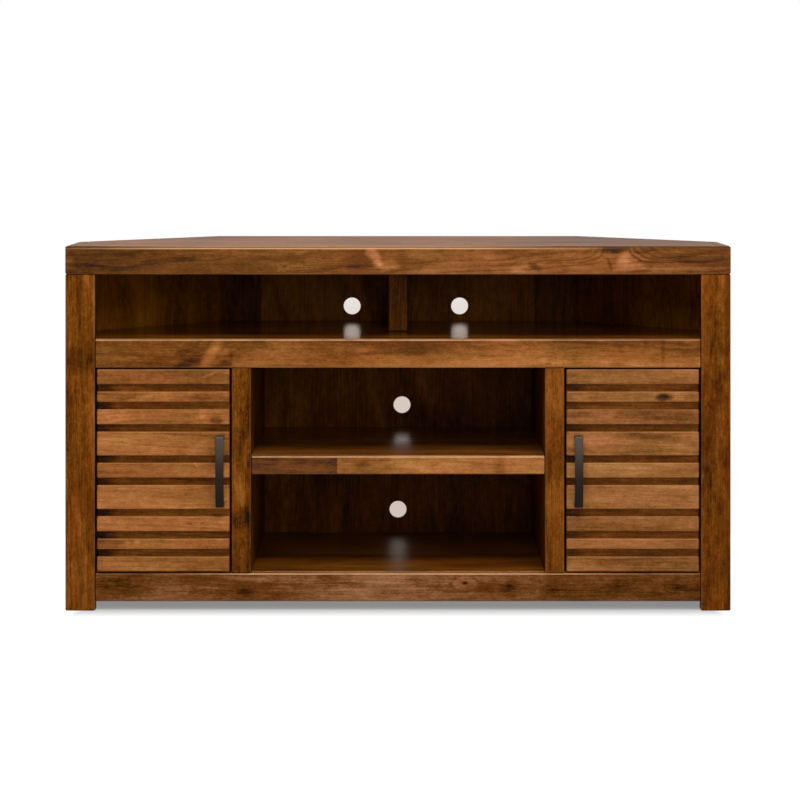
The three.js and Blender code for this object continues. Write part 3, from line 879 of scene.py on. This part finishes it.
def dark_bronze():
    """Satin dark bronze, paler towards the top of the handles: painted sheen where the bowed strap faces the
    light above.
    """
    g = Graph(bpy.data.materials.new("dark_bronze"))
    place = g.add("TexCoord", output="Object")
    low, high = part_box("left_door_handle")
    brushed = g.noise(place, BRONZE_BRUSHING, METAL_DETAIL)
    blotch = g.noise(place, BRONZE_BLOTCHES, METAL_DETAIL)
    # Paler towards the top: painted sheen
    height = g.span(g.parts(place)[2], low.z, high.z)
    tone = g.math("ADD", height, g.swing(blotch, BRONZE_BLOTCH_SWING))
    colour = g.ramp(tone, [(share, linear(rgb)) for share, rgb in BRONZE_SHEEN_BY_HEIGHT])
    rough = g.math("ADD", g.swing(brushed, BRONZE_ROUGHNESS_SWING), BRONZE_ROUGHNESS)
    g.set(Base_Color=colour, Roughness=rough)
    g.set(Normal=g.bump(brushed, BRONZE_BUMP, BRONZE_DEPTH))
    return g.set(Metallic=BRONZE_METALLIC, Specular_IOR_Level=BRONZE_SPECULAR)


def plated_steel():
    g = Graph(bpy.data.materials.new("plated_steel"))
    place = g.add("TexCoord", output="Object")
    brushed = g.noise(place, STEEL_BRUSHING, METAL_DETAIL)
    blotch = g.noise(place, STEEL_BLOTCHES, METAL_DETAIL)
    colour = g.ramp(blotch, [(share, linear(rgb)) for share, rgb in STEEL])
    rough = g.math("ADD", g.swing(brushed, STEEL_ROUGHNESS_SWING), STEEL_ROUGHNESS)
    g.set(Base_Color=colour, Roughness=rough)
    return g.set(Metallic=1.0)


def dress_cabinet(steel):
    group = smooth_group()
    bronze = dark_bronze()
    # Each piece's seed is its place in this order, with the hidden hinge blocks last
    names = sorted(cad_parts, key=lambda name: ("hinge_block" in name, name))
    for seed, name in enumerate(names, start=1):
        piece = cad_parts[name]
        if "handle" in name:
            dress(piece, bronze)
            soften(piece, group, HANDLE_ROUND)
        elif name.endswith(("hinge_cup", "hinge_arm")):
            dress(piece, steel)
            soften(piece, group, HINGE_ROUND)
        else:
            wood = BOARDS.get(name) or slat_wood(name)
            low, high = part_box(name)
            centre, reach = (low + high) / 2, (high - low) / 2
            middle = [centre["xyz".index(axis)] for axis in wood.lie]
            half = [reach["xyz".index(axis)] for axis in wood.lie]
            dress(piece, alder("alder_" + name, wood, middle, half, seed))
            soften(piece, group, wood.round)


# Screw heads: their outline from the seat up, as shares of radius and height, and the cross in them
SCREW_STEPS = 24
SCREW_PROFILE = ((1.0, 0.0), (1.0, 0.3), (0.93, 0.62), (0.8, 0.86), (0.64, 1.0))
CROSS_ARM = 0.46
CROSS_WIDTH = 0.11
CROSS_TAPER = 0.8
CROSS_FLOOR = 0.35
CUP_SCREW = (3.8 * MM, 1.1 * MM)
PLATE_SCREW = (4.0 * MM, 1.4 * MM)
HANDLE_SCREW = (4.2 * MM, 2.2 * MM)
CUP_SCREW_SPREAD = 24 * MM
PLATE_SCREW_SPREAD = 15 * MM
PLATE_THICKNESS = 2.8 * MM
PLATE_MIDDLE = 8.5 * MM
HANDLE_FOOT_MIDDLE = 4.5 * MM

# Shelf pins: their outline in millimetres, out from the wall and up, and their places on a shelf
PIN_PROFILE = ((0.0, 0.0), (11.0, 0.0), (12.0, -0.6), (12.0, -1.6), (3.0, -9.0), (1.8, -10.0), (0.0, -10.0))
PIN_WIDTH = 9 * MM
PIN_FROM_FRONT = 40 * MM
PIN_FROM_BACK = 60 * MM
PIN_FROM_PARTITION = 60 * MM

FASTENER_ROUND = 0.15 * MM
FASTENER_ANGLE = 40


def add_screw(bm, place, facing, radius, height):
    """Domed screw head with a cross recess, its seat on place."""
    spin = Vector(facing).to_track_quat("Z", "Y")

    def vert(x, y, z):
        return bm.verts.new(Vector(place) + spin @ Vector((x * radius, y * radius, z * height)))

    turns = [2 * math.pi * i / SCREW_STEPS for i in range(SCREW_STEPS)]
    rings = [[vert(share * math.cos(t), share * math.sin(t), lift) for t in turns]
             for share, lift in SCREW_PROFILE]
    for low, high in zip(rings, rings[1:]):
        for i in range(SCREW_STEPS):
            j = (i + 1) % SCREW_STEPS
            bm.faces.new((low[i], low[j], high[j], high[i])).smooth = True
    bm.faces.new(list(reversed(rings[0])))
    a, w = CROSS_ARM, CROSS_WIDTH
    cross = ((a, -w), (a, w), (w, w), (w, a), (-w, a), (-w, w),
             (-a, w), (-a, -w), (-w, -w), (-w, -a), (w, -a), (w, -w))
    mouth = [vert(x, y, 1.0) for x, y in cross]
    pit = [vert(x * CROSS_TAPER, y * CROSS_TAPER, CROSS_FLOOR) for x, y in cross]
    edges = []
    for loop in (rings[-1], mouth):
        for one, other in zip(loop, loop[1:] + loop[:1]):
            edges.append(bm.edges.get((one, other)) or bm.edges.new((one, other)))
    bmesh.ops.triangle_fill(bm, edges=edges, use_beauty=True)
    for i in range(len(cross)):
        j = (i + 1) % len(cross)
        bm.faces.new((mouth[i], mouth[j], pit[j], pit[i]))
    bm.faces.new(pit)


def add_shelf_pin(bm, place, out):
    """Gusseted shelf support standing out from a wall, its flat top on place."""
    out = Vector(out)
    side = Vector((-out.y, out.x, 0.0))
    ends = []
    for edge in (-0.5, 0.5):
        ends.append([])
        for x, z in PIN_PROFILE:
            point = Vector(place) + out * x * MM + side * PIN_WIDTH * edge + Vector((0, 0, z * MM))
            ends[-1].append(bm.verts.new(point))
    count = len(PIN_PROFILE)
    bm.faces.new(ends[0])
    bm.faces.new(list(reversed(ends[1])))
    for i in range(count):
        j = (i + 1) % count
        bm.faces.new((ends[0][j], ends[0][i], ends[1][i], ends[1][j]))


def add_fasteners(name, body, material, build, *each):
    """One piece made of several like fasteners, riding on a body."""
    bm = bmesh.new()
    for facts in each:
        build(bm, *facts)
    bmesh.ops.recalc_face_normals(bm, faces=bm.faces)
    mesh = bpy.data.meshes.new(name)
    bm.to_mesh(mesh)
    bm.free()
    mesh.materials.append(material)
    piece = bpy.data.objects.new(name, mesh)
    bpy.context.scene.collection.objects.link(piece)
    bevel = piece.modifiers.new("round", "BEVEL")
    bevel.width = FASTENER_ROUND
    bevel.limit_method = "ANGLE"
    bevel.angle_limit = math.radians(FASTENER_ANGLE)
    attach(piece, body)


def fasten_side(hand, side, steel):
    door = hand + "_door"
    door_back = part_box(hand + "_door_panel")[1].y
    for level in ("upper", "lower"):
        low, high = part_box(f"{hand}_{level}_hinge_cup")
        middle = (low + high) / 2
        add_fasteners(f"{hand}_{level}_cup_screws", door, steel, add_screw, *(
            ((middle.x, high.y, middle.z + spread), (0, 1, 0), *CUP_SCREW)
            for spread in (-CUP_SCREW_SPREAD, CUP_SCREW_SPREAD)))
        low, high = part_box(f"{hand}_{level}_hinge_arm")
        seat = high.x if side > 0 else low.x
        face = seat - side * PLATE_THICKNESS
        add_fasteners(f"{hand}_{level}_plate_screws", "carcass", steel, add_screw, *(
            ((face, high.y - PLATE_MIDDLE, (low.z + high.z) / 2 + spread), (-side, 0, 0), *PLATE_SCREW)
            for spread in (-PLATE_SCREW_SPREAD, PLATE_SCREW_SPREAD)))
    low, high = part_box(hand + "_door_handle")
    add_fasteners(hand + "_handle_screws", door, steel, add_screw, *(
        (((low.x + high.x) / 2, door_back, z), (0, 1, 0), *HANDLE_SCREW)
        for z in (low.z + HANDLE_FOOT_MIDDLE, high.z - HANDLE_FOOT_MIDDLE)))
    low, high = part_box(hand + "_cupboard_shelf")
    inner, outer = (low.x, high.x) if side > 0 else (high.x, low.x)
    add_fasteners(hand + "_shelf_pins", "carcass", steel, add_shelf_pin,
                  ((inner, low.y + PIN_FROM_FRONT, low.z), (side, 0, 0)),
                  ((inner, high.y - PIN_FROM_BACK, low.z), (side, 0, 0)),
                  ((outer, low.y + PIN_FROM_FRONT, low.z), (-side, 0, 0)),
                  ((inner + side * PIN_FROM_PARTITION, high.y, low.z), (0, -1, 0)))


WHITE = (1.0, 1.0, 1.0, 1.0)

# Floor: its half size and steps, its shade as light meets it and as the camera sees it, and its shadow,
# partly real and partly painted by a glow that is lifted under the cabinet and held back near it
FLOOR_REACH = 14.0
FLOOR_STEPS = 8
LIT_FLOOR = 0.86
SEEN_FLOOR = 0.25
FLOOR_ROUGHNESS = 0.9
FLOOR_GRAIN = (30.0, 30.0, 30.0)
FLOOR_GRAIN_SWING = 0.02
SHADOW_LIFT = 0.25
SHADOW_UNDER_FRONT = 30 * MM
SHADOW_UNDER_SIDE = 40 * MM
WHITE_COMES_BESIDE = 2.5
WHITE_COMES_BEHIND = 0.3
WHITE_COMES = (-0.05, 0.11)
MIRROR_ENDS = (-0.6, 0.0)
FLOOR_FADES = (0.63, 0.68)


def studio_floor():
    bm = bmesh.new()
    bmesh.ops.create_grid(bm, x_segments=FLOOR_STEPS, y_segments=FLOOR_STEPS, size=FLOOR_REACH)
    mesh = bpy.data.meshes.new("floor")
    bm.to_mesh(mesh)
    bm.free()
    floor = bpy.data.objects.new("floor", mesh)
    bpy.context.scene.collection.objects.link(floor)
    g = Graph(bpy.data.materials.new("floor_white"))
    rays = g.add("LightPath").node.outputs
    place = g.add("TexCoord", output="Object")
    x, y, _ = g.parts(place)
    # How far outside the cabinet's outline a point is: the white comes in close in front and at once beside.
    # Nearer, the glow is held back in a soft band, a painted shadow, and under the cabinet it is lifted,
    # painted light in the shadow
    aside = g.math("ABSOLUTE", x)
    past_side = g.math("SUBTRACT", aside, cad_high.x - SHADOW_UNDER_SIDE)
    beside = g.math("MULTIPLY", past_side, WHITE_COMES_BESIDE)
    in_front = g.math("SUBTRACT", cad_low.y + SHADOW_UNDER_FRONT, y)
    behind = g.math("MULTIPLY", g.math("SUBTRACT", y, cad_high.y), WHITE_COMES_BEHIND)
    outside = g.math("MAXIMUM", g.math("MAXIMUM", beside, in_front), behind)
    away = g.span(outside, *WHITE_COMES)
    white = g.math("MULTIPLY_ADD", away, 1 - SHADOW_LIFT, SHADOW_LIFT)
    mirrored = g.math("MULTIPLY", rays["Is Glossy Ray"], g.span(y, *MIRROR_ENDS))
    seen = g.math("MAXIMUM", rays["Is Camera Ray"], g.math("MAXIMUM", mirrored, rays["Is Transmission Ray"]))
    glow = g.math("MULTIPLY", seen, white)
    grain = g.noise(place, FLOOR_GRAIN)
    lit = g.math("MULTIPLY_ADD", rays["Is Camera Ray"], SEEN_FLOOR - LIT_FLOOR, LIT_FLOOR)
    shade = g.math("ADD", lit, g.swing(grain, FLOOR_GRAIN_SWING))
    g.set(Base_Color=g.add("CombineColor", shade, shade, shade))
    g.set(Emission_Color=WHITE, Emission_Strength=glow)
    g.set(Roughness=FLOOR_ROUGHNESS, Specular_IOR_Level=0.0)
    # Behind the shadow the camera looks past the floor at the backdrop
    past = g.math("MULTIPLY", rays["Is Camera Ray"], g.span(y, *FLOOR_FADES))
    clear = g.add("BsdfTransparent", WHITE)
    surface = g.add("MixShader", past, g.shader.outputs[0], clear)
    g.join(surface, g.tree.nodes["Material Output"].inputs["Surface"])
    mesh.materials.append(g.owner)


# World: the dim room's light, and the white that polished surfaces mirror, warmer than the backdrop
ROOM_LIGHT = 0.1
MIRRORED_WHITE = (1.0, 0.845, 0.76, 1.0)
MIRRORED_AHEAD = (-0.35, 0.15)
LEAST_AHEAD = 0.001

# Backdrop low behind the cabinet, seen through the cord holes, by the fall of the line of sight: a painted
# warm shade, standing in for the shaded floor behind the cabinet
BACKDROP_SHADE = (
    (0.05, (255, 255, 255)),
    (0.0786, (230, 222, 215)),
    (0.125, (214, 200, 191)),
    (0.174, (209, 193, 184)),
)
BACKDROP_FALL = 0.2
BACKDROP_ENDS = (0.19, 0.21)
BACKDROP_HALF = (0.06, 0.13)


def studio_world():
    """White for the camera, with a painted warm shade low behind the cabinet; the dim room for light; and
    white behind the cabinet for glossy surfaces.
    """
    world = bpy.data.worlds.new("studio")
    bpy.context.scene.world = world
    g = Graph(world)
    g.tree.nodes.clear()
    rays = g.add("LightPath").node.outputs
    x, y, z = g.parts(g.add("TexCoord"))
    ahead = g.math("MAXIMUM", y, LEAST_AHEAD)
    fall = g.math("DIVIDE", g.math("MULTIPLY", z, -1.0), ahead)
    aside = g.math("DIVIDE", g.math("ABSOLUTE", x), ahead)
    stops = [(slope / BACKDROP_FALL, linear(rgb)) for slope, rgb in BACKDROP_SHADE]
    backdrop_shade = g.ramp(g.math("DIVIDE", fall, BACKDROP_FALL), stops)
    near_middle = g.span(aside, *BACKDROP_HALF, 1.0, 0.0)
    behind = g.math("MULTIPLY", near_middle, g.span(fall, *BACKDROP_ENDS, 1.0, 0.0))
    seen = g.mix(behind, WHITE, backdrop_shade)
    white = g.add("Background", g.mix(rays["Is Glossy Ray"], seen, MIRRORED_WHITE))
    dim = g.add("Background", WHITE, ROOM_LIGHT)
    mirrored = g.math("MULTIPLY", rays["Is Glossy Ray"], g.add("MapRange", y, *MIRRORED_AHEAD))
    clear = g.math("MAXIMUM", rays["Is Camera Ray"], rays["Is Transmission Ray"])
    light = g.add("MixShader", g.math("MAXIMUM", mirrored, clear), dim, white)
    g.join(light, g.add("OutputWorld", output=None).inputs[0])


# Soft lamps: place, the point that each faces, width, height and watts
LAMPS = {
    "key_light": ((0.3, -2.3, 3.7), (0, -0.2, 0.4), 2.8, 1.2, 138),
    "front_light": ((-0.8, -3.8, 2.6), (0, 0, 0.4), 2.4, 1.4, 32),
    "right_light": ((2.8, -3.2, 1.6), (0, 0, 0.4), 1.0, 1.0, 16),
    "fill_light": ((0.5, -4.2, 1.1), (0, 0, 0.45), 1.6, 0.8, 15),
}


def studio_lights():
    for name, (place, target, width, height, power) in LAMPS.items():
        light = bpy.data.lights.new(name, "AREA")
        light.shape = "RECTANGLE"
        light.size = width
        light.size_y = height
        light.energy = power
        lamp = bpy.data.objects.new(name, light)
        bpy.context.scene.collection.objects.link(lamp)
        lamp.location = place
        lamp.rotation_euler = (Vector(target) - Vector(place)).to_track_quat("-Z", "Y").to_euler()


def studio_camera():
    camera = bpy.data.cameras.new("camera")
    camera.sensor_width = SENSOR_WIDTH
    camera.lens = SENSOR_WIDTH * FRONT_SCALE * CAMERA_DISTANCE / IMAGE_SIDE
    camera.shift_x = (IMAGE_SIDE / 2 - CENTRE_PIXEL) / IMAGE_SIDE
    camera.shift_y = (HORIZON_PIXEL - IMAGE_SIDE / 2) / IMAGE_SIDE
    holder = bpy.data.objects.new("camera", camera)
    bpy.context.scene.collection.objects.link(holder)
    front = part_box("top_front_rail")[0].y
    holder.location = (0.0, front - CAMERA_DISTANCE, CAMERA_HEIGHT)
    holder.rotation_euler = (math.radians(90), 0.0, 0.0)
    bpy.context.scene.camera = holder


steel = plated_steel()
dress_cabinet(steel)
fasten_side("left", -1, steel)
fasten_side("right", 1, steel)
studio_floor()
studio_world()
studio_lights()
studio_camera()

bpy.context.scene.view_settings.view_transform = "Standard"
